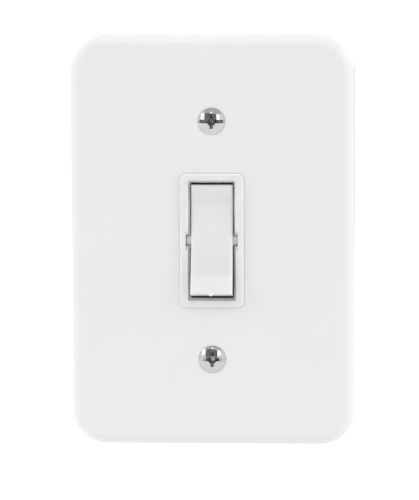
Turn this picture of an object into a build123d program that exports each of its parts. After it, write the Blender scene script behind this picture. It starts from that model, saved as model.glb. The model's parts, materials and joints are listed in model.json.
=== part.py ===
from build123d import *
import os
from math import asin, cos, degrees, radians, sin, sqrt, tan

# One-lever flush light switch for a 100 x 50 mm wall box: a pressed steel cover plate, a steel
# yoke, and a snap-together rocker module that holds a see-saw contact and two tunnel terminals.
# X runs to the right, Y into the wall and Z up. The origin is the middle of the plate on the
# wall plane, on the centre of the two box-fixing screws. Values named *_front are distances in
# front of the wall plane, and values named *_y are distances behind it. Sizes are millimetres.

# Cover plate
plate_width = 76.0
plate_height = 110.0
plate_depth = 6.0
plate_corner_radius = 9.4
plate_edge_radius = 2.8
plate_sheet = 1.0
cutout_gap = 0.06
dimple_wall = 0.85
dimple_rim_radius = 0.25
dimple_floor = 0.2

# Screw threads, shown plain
thread_radius = 1.75
thread_gap = 0.05
thread_tip = 0.45

# Cover screws, raised countersunk
cover_screw_spacing = 63.8
cover_head_radius = 3.6
cover_head_rise = 0.85
cover_head_land = 0.12
head_seat_gap = 0.05
cover_screw_reach = 2.0

# Driver recess, a cross with a slot
recess_span = 4.4
recess_wing = 0.95
recess_core_radius = 1.2
recess_foot_radius = 0.55
recess_depth = 1.7
slot_width = 0.95
slot_depth = 0.65

# Yoke
yoke_side_inset = 15.0
yoke_end_inset = 4.5
yoke_corner_radius = 6.0
yoke_sheet = 1.2
yoke_bend_radius = 1.6
yoke_rail_height = 3.2
yoke_rail_length = 74.0
yoke_relief = 0.8
yoke_window_gap = 0.1
yoke_collar_wall = 0.95
yoke_collar_height = 1.1
yoke_slot_z = 12.0
yoke_slot_width = 4.2
yoke_slot_length = 13.0

# Box-fixing screws, their captive washers and the slots that they stand in
box_screw_spacing = 83.5
box_slot_length = 8.4
box_slot_width = 4.0
box_screw_length = 25.0
box_head_radius = 3.4
box_head_height = 2.1
box_head_edge_radius = 1.0
box_neck_radius = 1.35
box_neck_gap = 0.1
washer_radius = 4.0
washer_thickness = 0.35

# Earth terminal on the back of the yoke
earth_inset = 8.5
earth_z = -30.0
earth_head_radius = 3.3
earth_head_height = 2.2
earth_head_edge_radius = 0.5
earth_screw_reach = 1.6
earth_clamp_gap = 0.25
earth_clamp_thickness = 0.9
earth_clamp_lip = 1.3

# Switch frame, the bezel that stands proud of the plate
frame_width = 17.3
frame_height = 36.0
frame_corner_radius = 1.9
frame_stand = 0.9
frame_edge_radius = 0.7
frame_side_wall = 2.3
frame_end_wall = 1.95
frame_skirt_y = 1.5
flange_margin = 1.9
flange_thickness = 1.5
opening_corner_radius = 0.5
opening_edge_chamfer = 0.25
sill_depth = 1.6
sill_side_gap = 0.25
sill_end_gap = 0.5
yoke_lug_width = 8.0
yoke_lug_reach = 1.0
yoke_lug_tip = 0.25
yoke_lug_gap = 0.05
arm_z = 9.0
arm_width = 5.0
arm_thickness = 0.8
arm_length = 6.9
arm_window_width = 3.0
arm_window_start = 2.9
arm_window_length = 2.4
snap_gap = 0.1
leg_width = 4.0
leg_thickness = 1.2
leg_shelf = 1.4
leg_gap = 0.05

# Rocker, its bearings in the frame and the stem that holds the plunger
pivot_set_back = 2.7
rocker_tilt = 6.5
rocker_side_gap = 0.75
rocker_end_gap = 1.06
rocker_end_rise = 3.8
rocker_flare_length = 4.9
rocker_crease_rise = 2.65
rocker_middle_rise = 2.5
rocker_edge_radius = 0.6
rocker_skirt_end = 1.5
rocker_skirt_middle = 4.4
rocker_skirt_half_length = 6.0
rocker_wall = 1.25
rocker_rib = 0.9
trunnion_chamfer = 0.2
trunnion_radius = 1.6
trunnion_gap = 0.05
trunnion_reach = 0.6
trunnion_end_gap = 0.08
bearing_throat = 2.9
bearing_mouth = 5.1
bearing_mouth_depth = 1.1
bearing_mouth_land = 0.5
nib_radius = 0.8
nib_reach = 0.6
nib_height = 1.6
stem_radius = 2.7
stem_length = 10.5
stem_bore_gap = 0.07
stem_bore_start = 1.0

# Plunger and its spring
plunger_radius = 1.45
plunger_reach = 2.0
plunger_length = 5.0
plunger_peg_radius = 0.75
plunger_peg_length = 1.3
spring_wire_radius = 0.17
spring_coil_radius = 1.15
spring_turns = 6.0
spring_end_gap = 0.05

# See-saw contact bridge
bridge_tilt = 10.0
bridge_width = 5.0
bridge_sheet = 0.7
bridge_vee = 1.2
bridge_vee_angle = 40.0
bridge_tip_length = 8.9
bridge_heel_length = 8.2
bridge_corner_radius = 1.0
plunger_gap = 0.25
contact_place = 7.2
contact_radius = 1.4
contact_height = 0.8
contact_dome_radius = 2.4
contact_shank_radius = 0.65
contact_shank_gap = 0.04
contact_gap = 0.1

# Terminal strips
strip_width = 5.0
strip_sheet = 0.8
strip_end_gap = 0.6
load_strip_start = 4.6
cradle_gap = 0.05
cradle_vee = 0.65
cradle_vee_angle = 60.0
cradle_half_length = 2.6
joggle_length = 1.6

# Tunnel clamps and their screws
clamp_width = 7.0
clamp_height = 8.4
clamp_depth = 8.0
clamp_chamfer = 0.4
clamp_peg_radius = 0.9
clamp_peg_gap = 0.04
tunnel_radius = 2.0
clamp_head_radius = 2.6
clamp_head_height = 1.9
clamp_head_edge_radius = 0.3
clamp_screw_clearance = 0.1
clamp_screw_back_off = 1.0

# Moulded base
base_side_wall = 1.65
base_end_wall = 2.8
base_back_wall = 1.2
base_edge_radius = 0.8
floor_gap = 0.05
pocket_gap = 0.1
access_gap = 0.5
wire_entry_radius = 2.5
wire_entry_flare = 0.7
cheek_gap = 0.3
cheek_rise = 0.3
cheek_half_height = 3.0
pedestal_half_height = 1.9
core_wall = 1.2
core_floor = 1.5

# Places in the cover, the yoke and the frame
plate_front = plate_depth
frame_front = plate_front + frame_stand
pivot_front = frame_front - pivot_set_back
yoke_width = plate_width - 2 * yoke_side_inset
yoke_height = plate_height - 2 * yoke_end_inset
yoke_window_width = frame_width + 2 * yoke_window_gap
yoke_slot_x = (yoke_window_width / 2 + yoke_width / 2 - yoke_bend_radius) / 2
earth_x = earth_inset - yoke_width / 2
cover_screw_z = cover_screw_spacing / 2
box_screw_z = box_screw_spacing / 2
opening_width = frame_width - 2 * frame_side_wall
opening_height = frame_height - 2 * frame_end_wall
tapped_radius = thread_radius + thread_gap

# Places in the rocker, measured from its pivot
rocker_half_width = opening_width / 2 - rocker_side_gap
rocker_end_radius = opening_height / 2 - rocker_end_gap
rocker_end = sqrt(rocker_end_radius**2 - rocker_end_rise**2)
rocker_skirt_length = sqrt(rocker_end_radius**2 - rocker_skirt_end**2)
rocker_crease = rocker_end - rocker_flare_length
stem_bore_radius = plunger_radius + stem_bore_gap
plunger_tip = stem_length + plunger_reach
plunger_back = plunger_tip - plunger_length
plunger_centre = plunger_tip - plunger_radius

# The bridge's fulcrum lies where the tilted bridge just clears the tilted rocker's plunger
bridge_rise = bridge_vee + bridge_sheet
bridge_cos = cos(radians(bridge_tilt))
bridge_sin = sin(radians(bridge_tilt))
plunger_centre_y = plunger_centre * cos(radians(rocker_tilt)) - pivot_front
plunger_centre_z = plunger_centre * sin(radians(rocker_tilt))
bridge_standoff = (plunger_gap + plunger_radius + bridge_rise) / bridge_cos
fulcrum_y = plunger_centre_y + bridge_standoff - plunger_centre_z * bridge_sin / bridge_cos

# The strips lie where the closed contacts just meet, and the clamps lie behind the strips
contact_set_back = bridge_vee - contact_height
closed_contact_y = fulcrum_y + contact_place * bridge_sin - contact_set_back * bridge_cos
closed_contact_z = contact_place * bridge_cos + contact_set_back * bridge_sin
strip_y = closed_contact_y + contact_gap + contact_height
strip_back_y = strip_y + strip_sheet
cradle_y = fulcrum_y + cradle_gap - cradle_vee
clamp_back_y = strip_back_y + clamp_depth
tunnel_y = strip_back_y + clamp_depth / 2
clamp_screw_tip_y = tunnel_y + tunnel_radius + clamp_screw_clearance
clamp_head_y = clamp_back_y + clamp_screw_back_off
base_back_y = clamp_head_y + clamp_head_height + base_back_wall
floor_y = strip_back_y + floor_gap
chamber_half_width = frame_width / 2 - base_side_wall
chamber_half_height = frame_height / 2 - base_end_wall
strip_end = chamber_half_height - strip_end_gap
clamp_z = strip_end - clamp_height / 2


def in_front(distance):
    """Plane parallel to the wall that faces the room, that far in front of the wall plane."""
    return Plane.XZ.offset(distance)


def behind(distance):
    """Plane parallel to the wall that faces the room, that far behind the wall plane."""
    return Plane.XZ.offset(-distance)


def side_plane(hinge_y, tilt):
    """Side view of a body turned about X at hinge_y: its x runs back and its y runs up."""
    turn = radians(tilt)
    return Plane(origin=(0, hinge_y, 0), x_dir=(0, cos(turn), sin(turn)), z_dir=(1, 0, 0))


def front_plane(hinge_y, tilt):
    """Front view of a body turned about X at hinge_y: its x runs right and its y runs up."""
    turn = radians(tilt)
    return Plane(origin=(0, hinge_y, 0), x_dir=(1, 0, 0), z_dir=(0, -cos(turn), -sin(turn)))


def driver_recess(head_face, rise):
    """Cross recess and slot for a head whose rim lies on head_face and whose crown rises above it."""
    wing_axes = (head_face.x_dir, head_face.y_dir)
    with BuildPart() as recess:
        for wing_axis in wing_axes:
            with BuildSketch(Plane(head_face.origin, wing_axis, wing_axis.cross(head_face.z_dir))):
                with BuildLine():
                    Polyline(
                        (-recess_span / 2, rise),
                        (recess_span / 2, rise),
                        (recess_foot_radius, -recess_depth),
                        (-recess_foot_radius, -recess_depth),
                        close=True,
                    )
                make_face()
            extrude(amount=recess_wing / 2, both=True)
        with Locations(head_face.offset(-recess_depth)):
            Cone(
                recess_foot_radius,
                recess_core_radius,
                rise + recess_depth,
                align=(Align.CENTER, Align.CENTER, Align.MIN),
            )
        with Locations(head_face.offset(rise)):
            Box(
                2 * recess_span,
                slot_width,
                slot_depth,
                align=(Align.CENTER, Align.CENTER, Align.MAX),
            )
    return recess.part


os.makedirs("parts", exist_ok=True)

# Cover plate: a pressed dish with a rolled edge, a cut-out for the frame and two screw dimples
seat_radius = cover_head_radius + cover_head_land + head_seat_gap
screw_hole_radius = thread_radius + 2 * thread_gap
dimple_depth = seat_radius - screw_hole_radius + dimple_floor
with BuildPart() as cover_plate:
    with BuildSketch(in_front(0)):
        RectangleRounded(plate_width, plate_height, plate_corner_radius)
    extrude(amount=plate_depth)
    fillet(cover_plate.faces().sort_by(Axis.Y)[0].edges(), plate_edge_radius)
    offset(amount=-plate_sheet, openings=cover_plate.faces().sort_by(Axis.Y)[-1])
    with BuildSketch(in_front(plate_front)):
        RectangleRounded(
            frame_width + 2 * cutout_gap,
            frame_height + 2 * cutout_gap,
            frame_corner_radius + cutout_gap,
        )
    extrude(amount=-plate_sheet, mode=Mode.SUBTRACT)
    with Locations(in_front(plate_front - plate_sheet)):
        with Locations((0, cover_screw_z), (0, -cover_screw_z)):
            Cone(
                seat_radius - dimple_depth + dimple_wall,
                seat_radius - plate_sheet + dimple_wall,
                dimple_depth - plate_sheet,
                align=(Align.CENTER, Align.CENTER, Align.MAX),
            )
    with Locations(in_front(plate_front)):
        with Locations((0, cover_screw_z), (0, -cover_screw_z)):
            CounterSinkHole(screw_hole_radius, seat_radius, plate_depth, 90)
    front_edges = cover_plate.faces().sort_by(Axis.Y)[0].inner_wires().edges()
    fillet(front_edges.filter_by(lambda edge: edge.is_closed), dimple_rim_radius)
cover_plate.part.label = "cover_plate"
export_step(cover_plate.part, "parts/cover_plate.step")

# Cover screws: raised countersunk heads in the dimples, threaded into the yoke's collars
crown_radius = (cover_head_radius**2 + cover_head_rise**2) / (2 * cover_head_rise)
crown_angle = degrees(asin(cover_head_radius / crown_radius))
cover_screw_end = plate_front + yoke_collar_height + cover_screw_reach
for side_name, screw_z in (("upper", cover_screw_z), ("lower", -cover_screw_z)):
    screw_side = Plane((0, -plate_front, screw_z), x_dir=(1, 0, 0), z_dir=(0, 0, 1))
    head_face = Plane(screw_side.origin, x_dir=(1, 0, 0), z_dir=(0, -1, 0))
    recess_tool = driver_recess(head_face, cover_head_rise)
    with BuildPart() as cover_screw:
        with BuildSketch(screw_side):
            with BuildLine():
                crown = JernArc((0, -cover_head_rise), (1, 0), crown_radius, crown_angle)
                Polyline(
                    crown @ 1,
                    (cover_head_radius, cover_head_land),
                    (thread_radius, cover_head_land + cover_head_radius - thread_radius),
                    (thread_radius, cover_screw_end - thread_tip),
                    (thread_radius - thread_tip, cover_screw_end),
                    (0, cover_screw_end),
                    crown @ 0,
                )
            make_face()
        revolve(axis=Axis(screw_side.origin, screw_side.y_dir))
        add(recess_tool, mode=Mode.SUBTRACT)
    cover_screw.part.label = f"cover_screw_{side_name}"
    export_step(cover_screw.part, f"parts/cover_screw_{side_name}.step")

# Yoke: a steel strap with folded sides, a window for the frame and two pressed, tapped collars
bend_x = yoke_width / 2 - yoke_bend_radius
with BuildPart() as yoke:
    with BuildSketch(in_front(0)):
        RectangleRounded(yoke_width, yoke_height, yoke_corner_radius)
        with Locations((yoke_width / 2, 0), (-yoke_width / 2, 0)):
            Rectangle(
                2 * yoke_bend_radius,
                yoke_rail_length + 2 * yoke_relief,
                mode=Mode.SUBTRACT,
            )
        RectangleRounded(
            yoke_window_width,
            frame_height + 2 * yoke_window_gap,
            frame_corner_radius + yoke_window_gap,
            mode=Mode.SUBTRACT,
        )
        with Locations((0, box_screw_z), (0, -box_screw_z)):
            SlotOverall(box_slot_length, box_slot_width, mode=Mode.SUBTRACT)
        with GridLocations(2 * yoke_slot_x, 2 * yoke_slot_z, 2, 2):
            SlotOverall(yoke_slot_length, yoke_slot_width, rotation=90, mode=Mode.SUBTRACT)
    extrude(amount=yoke_sheet)
    with BuildSketch(Plane.XY.offset(-yoke_rail_length / 2)):
        with BuildLine():
            outer_bend = JernArc((bend_x, 0), (1, 0), yoke_bend_radius, -90)
            rail = Polyline(
                outer_bend @ 1,
                (yoke_width / 2, -yoke_rail_height),
                (yoke_width / 2 - yoke_sheet, -yoke_rail_height),
                (yoke_width / 2 - yoke_sheet, -yoke_bend_radius),
            )
            inner_bend = JernArc(rail @ 1, (0, 1), yoke_bend_radius - yoke_sheet, 90)
            Line(inner_bend @ 1, outer_bend @ 0)
        make_face()
        mirror(about=Plane.YZ)
    extrude(amount=yoke_rail_length)
    with BuildSketch(in_front(0)):
        with Locations((0, cover_screw_z), (0, -cover_screw_z)):
            Circle(tapped_radius + yoke_collar_wall)
    extrude(amount=-yoke_collar_height)
    with BuildSketch(in_front(yoke_sheet)):
        with Locations((0, cover_screw_z), (0, -cover_screw_z), (earth_x, earth_z)):
            Circle(tapped_radius)
    extrude(amount=-yoke_sheet - yoke_collar_height, mode=Mode.SUBTRACT)
yoke.part.label = "yoke"
export_step(yoke.part, "parts/yoke.step")

# Box-fixing screws: pan heads on the yoke, a waisted neck in the washer and a free thread behind
neck_end_y = washer_thickness + box_neck_gap
box_screw_end_y = box_screw_length - yoke_sheet
box_head_front = yoke_sheet + box_head_height
for side_name, screw_z in (("upper", box_screw_z), ("lower", -box_screw_z)):
    screw_side = Plane((0, 0, screw_z), x_dir=(1, 0, 0), z_dir=(0, 0, 1))
    head_face = Plane((0, -box_head_front, screw_z), x_dir=(1, 0, 0), z_dir=(0, -1, 0))
    recess_tool = driver_recess(head_face, 0)
    with BuildPart() as box_screw:
        with BuildSketch(screw_side):
            with BuildLine():
                Polyline(
                    (0, -box_head_front),
                    (box_head_radius, -box_head_front),
                    (box_head_radius, -yoke_sheet),
                    (box_neck_radius, -yoke_sheet),
                    (box_neck_radius, neck_end_y),
                    (thread_radius, neck_end_y),
                    (thread_radius, box_screw_end_y - thread_tip),
                    (thread_radius - thread_tip, box_screw_end_y),
                    (0, box_screw_end_y),
                    close=True,
                )
            make_face()
        revolve(axis=Axis(screw_side.origin, screw_side.y_dir))
        fillet(box_screw.edges().group_by(Axis.Y)[0], box_head_edge_radius)
        add(recess_tool, mode=Mode.SUBTRACT)
    box_screw.part.label = f"box_screw_{side_name}"
    export_step(box_screw.part, f"parts/box_screw_{side_name}.step")

    with BuildPart() as captive_washer:
        with BuildSketch(in_front(0)):
            with Locations((0, screw_z)):
                Circle(washer_radius)
                Circle(box_neck_radius + box_neck_gap, mode=Mode.SUBTRACT)
        extrude(amount=-washer_thickness)
    captive_washer.part.label = f"captive_washer_{side_name}"
    export_step(captive_washer.part, f"parts/captive_washer_{side_name}.step")

# Earth terminal: a square clamp with two turned lips under a screw from the box side
earth_clamp_side = 2 * (earth_head_radius + earth_clamp_gap + earth_clamp_thickness)
with BuildPart() as earth_clamp:
    with BuildSketch(in_front(0)):
        with Locations((earth_x, earth_z)):
            Rectangle(earth_clamp_side, earth_clamp_side)
            Circle(tapped_radius, mode=Mode.SUBTRACT)
    extrude(amount=-earth_clamp_thickness)
    with BuildSketch(behind(earth_clamp_thickness)):
        with Locations((earth_x, earth_z)):
            with GridLocations(earth_clamp_side - earth_clamp_thickness, 0, 2, 1):
                Rectangle(earth_clamp_thickness, earth_clamp_side)
    extrude(amount=-earth_clamp_lip)
earth_clamp.part.label = "earth_clamp"
export_step(earth_clamp.part, "parts/earth_clamp.step")

earth_head_y = earth_clamp_thickness + earth_head_height
earth_side = Plane((earth_x, earth_head_y, earth_z), x_dir=(1, 0, 0), z_dir=(0, 0, 1))
earth_face = Plane(earth_side.origin, x_dir=(1, 0, 0), z_dir=(0, 1, 0))
earth_recess_tool = driver_recess(earth_face, 0)
earth_screw_end = earth_head_y + yoke_sheet + earth_screw_reach
with BuildPart() as earth_screw:
    with BuildSketch(earth_side):
        with BuildLine():
            Polyline(
                (0, 0),
                (earth_head_radius, 0),
                (earth_head_radius, -earth_head_height),
                (thread_radius, -earth_head_height),
                (thread_radius, thread_tip - earth_screw_end),
                (thread_radius - thread_tip, -earth_screw_end),
                (0, -earth_screw_end),
                close=True,
            )
        make_face()
    revolve(axis=Axis(earth_side.origin, earth_side.y_dir))
    fillet(earth_screw.edges().group_by(Axis.Y)[-1], earth_head_edge_radius)
    add(earth_recess_tool, mode=Mode.SUBTRACT)
earth_screw.part.label = "earth_screw"
export_step(earth_screw.part, "parts/earth_screw.step")

# Switch frame: a collar with a flange before the yoke, lugs behind it, an opening that steps in
# to a sill close round the rocker, open-topped bearings in its side walls, four windowed arms
# that snap over the base and two legs that hold the terminal strips down on the base's floor
sill_width = 2 * (rocker_half_width + sill_side_gap)
sill_height = 2 * (rocker_end_radius + sill_end_gap)
bearing_neck_front = frame_front - bearing_mouth_depth
bearing_land_front = frame_front - bearing_mouth_land
lug_root_z = (frame_height - frame_end_wall) / 2
arm_y = frame_skirt_y + arm_length / 2
leg_outer_z = chamber_half_height - snap_gap
arm_window_y = frame_skirt_y + arm_window_start + arm_window_length / 2
with BuildPart() as switch_frame:
    with BuildSketch(behind(frame_skirt_y)):
        RectangleRounded(frame_width, frame_height, frame_corner_radius)
    extrude(amount=frame_skirt_y + frame_front)
    fillet(switch_frame.faces().sort_by(Axis.Y)[0].edges(), frame_edge_radius)
    with BuildSketch(in_front(yoke_sheet)):
        RectangleRounded(
            frame_width + 2 * flange_margin,
            frame_height + 2 * flange_margin,
            frame_corner_radius + flange_margin,
        )
    extrude(amount=flange_thickness)
    with BuildSketch(Plane.YZ):
        with BuildLine():
            Polyline(
                (yoke_lug_gap, lug_root_z),
                (yoke_lug_gap, frame_height / 2 + yoke_lug_reach),
                (frame_skirt_y, frame_height / 2 + yoke_lug_tip),
                (frame_skirt_y, lug_root_z),
                close=True,
            )
        make_face()
        mirror(about=Plane.XZ)
    extrude(amount=yoke_lug_width / 2, both=True)
    with BuildSketch(Plane.YZ.offset(frame_width / 2 - arm_thickness)):
        with Locations((arm_y, arm_z), (arm_y, -arm_z)):
            Rectangle(arm_length, arm_width)
        with Locations((arm_window_y, arm_z), (arm_window_y, -arm_z)):
            Rectangle(arm_window_length, arm_window_width, mode=Mode.SUBTRACT)
    arms = extrude(amount=arm_thickness)
    mirror(arms, about=Plane.YZ)
    with BuildSketch(in_front(frame_front)):
        RectangleRounded(opening_width, opening_height, opening_corner_radius)
    extrude(amount=-sill_depth, mode=Mode.SUBTRACT)
    with BuildSketch(in_front(frame_front)):
        RectangleRounded(sill_width, sill_height, opening_corner_radius)
    extrude(amount=-frame_skirt_y - frame_front, mode=Mode.SUBTRACT)
    chamfer(
        switch_frame.faces().sort_by(Axis.Y)[0].inner_wires().edges(),
        opening_edge_chamfer,
    )
    with BuildSketch(Plane.YZ):
        with BuildLine():
            Polyline(
                (frame_skirt_y - leg_shelf, lug_root_z),
                (frame_skirt_y - leg_shelf, leg_outer_z - leg_thickness),
                (strip_y - leg_gap, leg_outer_z - leg_thickness),
                (strip_y - leg_gap, leg_outer_z),
                (frame_skirt_y, leg_outer_z),
                (frame_skirt_y, lug_root_z),
                close=True,
            )
        make_face()
        mirror(about=Plane.XZ)
    extrude(amount=leg_width / 2, both=True)
    with BuildSketch(Plane.YZ):
        with Locations((-pivot_front, 0)):
            Circle(trunnion_radius + trunnion_gap)
        with BuildLine():
            Polyline(
                (-pivot_front, bearing_throat / 2),
                (-bearing_neck_front, bearing_throat / 2),
                (-bearing_land_front, bearing_mouth / 2),
                (-frame_front, bearing_mouth / 2),
                (-frame_front, -bearing_mouth / 2),
                (-bearing_land_front, -bearing_mouth / 2),
                (-bearing_neck_front, -bearing_throat / 2),
                (-pivot_front, -bearing_throat / 2),
                close=True,
            )
        make_face()
    extrude(
        amount=opening_width / 2 + trunnion_reach + trunnion_end_gap,
        both=True,
        mode=Mode.SUBTRACT,
    )
switch_frame.part.label = "switch_frame"
export_step(switch_frame.part, "parts/switch_frame.step")

# Rocker: a dished, hollow paddle with flared ends, two trunnions, a nib at its lower end and a
# bored stem on stiffening ribs
rocker_side = side_plane(-pivot_front, -rocker_tilt)
rocker_face = front_plane(-pivot_front, -rocker_tilt)
rib_front = rocker_middle_rise - rocker_wall / 2
trunnion_root = rocker_half_width - rocker_wall / 2
trunnion_end = opening_width / 2 + trunnion_reach
nib_centre = rocker_end + nib_reach - nib_radius
with BuildSketch(rocker_side) as paddle:
    with BuildLine():
        dish = ThreePointArc(
            (-rocker_crease_rise, -rocker_crease),
            (-rocker_middle_rise, 0),
            (-rocker_crease_rise, rocker_crease),
        )
        upper_flare = Line(dish @ 1, (-rocker_end_rise, rocker_end))
        upper_end = ThreePointArc(
            upper_flare @ 1,
            (0, rocker_end_radius),
            (rocker_skirt_end, rocker_skirt_length),
        )
        lower_flare = Line(dish @ 0, (-rocker_end_rise, -rocker_end))
        lower_end = ThreePointArc(
            lower_flare @ 1,
            (0, -rocker_end_radius),
            (rocker_skirt_end, -rocker_skirt_length),
        )
        Polyline(
            upper_end @ 1,
            (rocker_skirt_middle, rocker_skirt_half_length),
            (rocker_skirt_middle, -rocker_skirt_half_length),
            lower_end @ 1,
        )
    make_face()
with BuildPart() as rocker:
    extrude(paddle.sketch, amount=rocker_half_width, both=True)
    skirt_faces = rocker.faces().filter_by(
        lambda face: face.normal_at().dot(rocker_side.x_dir) > rocker_skirt_end / rocker_end_radius
    )
    offset(amount=-rocker_wall, openings=skirt_faces.filter_by(GeomType.PLANE))
    front_edges = rocker.faces().filter_by(
        lambda face: face.normal_at().dot(rocker_face.z_dir) > cos(radians(45))
    ).edges()
    across_edges = front_edges.filter_by(Axis.X).sort_by(Axis.Z)
    rim_edges = front_edges.filter_by(Axis.X, reverse=True) + [across_edges[0], across_edges[-1]]
    fillet(rim_edges, rocker_edge_radius)
    extrude(paddle.sketch, amount=rocker_rib / 2, both=True)
    with BuildSketch(rocker_face.offset(rib_front)):
        Rectangle(2 * rocker_half_width - rocker_wall, rocker_rib)
    extrude(amount=-rib_front - rocker_skirt_middle)
    with BuildSketch(rocker_face.offset(rib_front)):
        Circle(stem_radius)
    extrude(amount=-rib_front - stem_length)
    with BuildSketch(rocker_side.offset(trunnion_root)):
        Circle(trunnion_radius)
    trunnion = extrude(amount=trunnion_end - trunnion_root)
    mirror(trunnion, about=Plane.YZ)
    trunnion_ends = rocker.faces().filter_by(Axis.X).sort_by(Axis.X)
    chamfer(trunnion_ends[0].edges() + trunnion_ends[-1].edges(), trunnion_chamfer)
    with BuildSketch(rocker_face.offset(rocker_end_rise)):
        with Locations((0, -nib_centre)):
            Circle(nib_radius)
    extrude(amount=-nib_height)
    with BuildSketch(rocker_face.offset(-stem_length)):
        Circle(stem_bore_radius)
    extrude(amount=stem_length - stem_bore_start, mode=Mode.SUBTRACT)
rocker.part.label = "rocker"
export_step(rocker.part, "parts/rocker.step")

# Plunger: a round-nosed pin in the stem, with a peg that centres the spring
with BuildPart() as plunger:
    with BuildSketch(rocker_side):
        with BuildLine():
            nose = CenterArc((plunger_centre, 0), plunger_radius, 0, 90)
            Polyline(
                nose @ 1,
                (plunger_back, plunger_radius),
                (plunger_back, plunger_peg_radius),
                (plunger_back - plunger_peg_length, plunger_peg_radius),
                (plunger_back - plunger_peg_length, 0),
                nose @ 0,
            )
        make_face()
    revolve(axis=Axis(rocker_side.origin, rocker_side.x_dir))
plunger.part.label = "plunger"
export_step(plunger.part, "parts/plunger.step")

# Plunger spring: an open coil between the floor of the stem's bore and the plunger
spring_start = stem_bore_start + spring_end_gap + spring_wire_radius
spring_height = plunger_back - spring_end_gap - spring_wire_radius - spring_start
with BuildPart() as plunger_spring:
    with BuildLine() as coil:
        Helix(
            pitch=spring_height / spring_turns,
            height=spring_height,
            radius=spring_coil_radius,
            center=rocker_face.offset(-spring_start).origin,
            direction=rocker_side.x_dir,
        )
    with BuildSketch(Plane(origin=coil.line @ 0, z_dir=coil.line % 0)):
        Circle(spring_wire_radius)
    sweep()
plunger_spring.part.label = "plunger_spring"
export_step(plunger_spring.part, "parts/plunger_spring.step")

# Contact bridge: a brass strip that rocks on the fold in its middle
bridge_side = side_plane(fulcrum_y, bridge_tilt)
bridge_face = front_plane(fulcrum_y, bridge_tilt)
bridge_vee_half = bridge_vee * tan(radians(bridge_vee_angle))
with BuildPart() as contact_bridge:
    with BuildSketch(bridge_side):
        with BuildLine():
            bridge_back = Polyline(
                (-bridge_vee, -bridge_heel_length),
                (-bridge_vee, -bridge_vee_half),
                (0, 0),
                (-bridge_vee, bridge_vee_half),
                (-bridge_vee, bridge_tip_length),
            )
            offset(bridge_back, amount=bridge_sheet, side=Side.LEFT, kind=Kind.INTERSECTION)
        make_face()
    extrude(amount=bridge_width / 2, both=True)
    corner_edges = contact_bridge.edges().filter_by(Axis(bridge_side.origin, bridge_side.x_dir))
    fillet(corner_edges, bridge_corner_radius)
    with BuildSketch(bridge_face.offset(bridge_vee)):
        with Locations((0, contact_place)):
            Circle(contact_shank_radius + contact_shank_gap)
    extrude(amount=bridge_sheet, mode=Mode.SUBTRACT)
contact_bridge.part.label = "contact_bridge"
export_step(contact_bridge.part, "parts/contact_bridge.step")

# Contacts: domed rivets, one on the back of the bridge and one on the front of the load strip
moving_seat = Plane(
    bridge_face.from_local_coords((0, contact_place, bridge_vee)),
    x_dir=(1, 0, 0),
    z_dir=bridge_side.x_dir,
)
fixed_seat = Plane((0, strip_y, closed_contact_z), x_dir=(1, 0, 0), z_dir=(0, -1, 0))
for contact_name, seat, sheet in (
    ("moving_contact", moving_seat, bridge_sheet),
    ("fixed_contact", fixed_seat, strip_sheet),
):
    with BuildPart() as contact:
        with BuildSketch(seat):
            Circle(contact_radius)
        extrude(amount=contact_height)
        with Locations(seat.offset(contact_height - contact_dome_radius)):
            Sphere(contact_dome_radius, mode=Mode.INTERSECT)
        with BuildSketch(seat):
            Circle(contact_shank_radius)
        extrude(amount=-sheet)
    contact.part.label = contact_name
    export_step(contact.part, f"parts/{contact_name}.step")

# Load strip: a flat strip under the fixed contact
with BuildPart() as load_strip:
    with BuildSketch(behind(strip_y)):
        with Locations((0, (load_strip_start + strip_end) / 2)):
            Rectangle(strip_width, strip_end - load_strip_start)
        with Locations((0, closed_contact_z)):
            Circle(contact_shank_radius + contact_shank_gap, mode=Mode.SUBTRACT)
        with Locations((0, clamp_z)):
            Circle(clamp_peg_radius + clamp_peg_gap, mode=Mode.SUBTRACT)
    extrude(amount=-strip_sheet)
load_strip.part.label = "load_strip"
export_step(load_strip.part, "parts/load_strip.step")

# Common strip: a folded cradle for the bridge, joggled back to its terminal
cradle_vee_half = cradle_vee * tan(radians(cradle_vee_angle))
with BuildPart() as common_strip:
    with BuildSketch(Plane.YZ):
        with BuildLine():
            common_front = Polyline(
                (cradle_y, cradle_half_length),
                (cradle_y, cradle_vee_half),
                (cradle_y + cradle_vee, 0),
                (cradle_y, -cradle_vee_half),
                (cradle_y, -cradle_half_length),
                (strip_y, -cradle_half_length - joggle_length),
                (strip_y, -strip_end),
            )
            offset(common_front, amount=strip_sheet, side=Side.LEFT, kind=Kind.INTERSECTION)
        make_face()
    extrude(amount=strip_width / 2, both=True)
    with BuildSketch(behind(strip_y)):
        with Locations((0, -clamp_z)):
            Circle(clamp_peg_radius + clamp_peg_gap)
    extrude(amount=-strip_sheet, mode=Mode.SUBTRACT)
common_strip.part.label = "common_strip"
export_step(common_strip.part, "parts/common_strip.step")

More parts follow.
